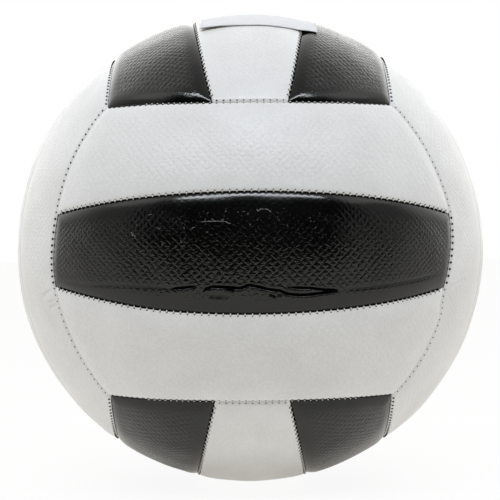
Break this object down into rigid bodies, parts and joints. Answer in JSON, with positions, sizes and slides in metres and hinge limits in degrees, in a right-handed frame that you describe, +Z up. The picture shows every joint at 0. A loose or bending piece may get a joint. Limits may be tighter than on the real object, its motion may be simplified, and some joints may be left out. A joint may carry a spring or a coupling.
{
  "type": "volleyball",
  "caption": "Inflatable stitched volleyball with strip panels on every face, a sealed bladder inside and a self-sealing needle valve.",
  "frame": {"origin": "centre of the ball", "axes": "+Z up through the middle of the top face, +Y out of the valve on the back face, +X to the right of a viewer in front of the ball"},
  "size_m": [0.21, 0.2099, 0.2103],
  "materials": {
    "white_cover": "satin, fine embossed grain",
    "black_cover": "glossy, fine embossed grain",
    "seam_thread": "waxed polyester thread",
    "bladder_rubber": "matte",
    "valve_rubber": "matte",
    "patch_cloth": "woven",
    "label_paper": "smooth, blank"
  },
  "bodies": {
    "root": {"bladder": "bladder_rubber", "panel_back_lower": "white_cover", "panel_back_middle": "black_cover", "panel_back_upper": "white_cover", "panel_bottom_left": "black_cover", "panel_bottom_middle": "white_cover", "panel_bottom_right": "black_cover", "panel_front_lower": "white_cover", "panel_front_middle": "black_cover", "panel_front_upper": "white_cover", "panel_left_back": "white_cover", "panel_left_front": "white_cover", "panel_left_middle": "white_cover", "panel_right_back": "white_cover", "panel_right_front": "white_cover", "panel_right_middle": "white_cover", "panel_top_left": "black_cover", "panel_top_middle": "white_cover", "panel_top_right": "black_cover", "paper_label": "label_paper", "seam_thread_between_faces": "seam_thread", "seam_thread_between_strips": "seam_thread", "valve_core": "valve_rubber", "valve_housing": "valve_rubber", "valve_patch": "patch_cloth"}
  },
  "joints": []
}
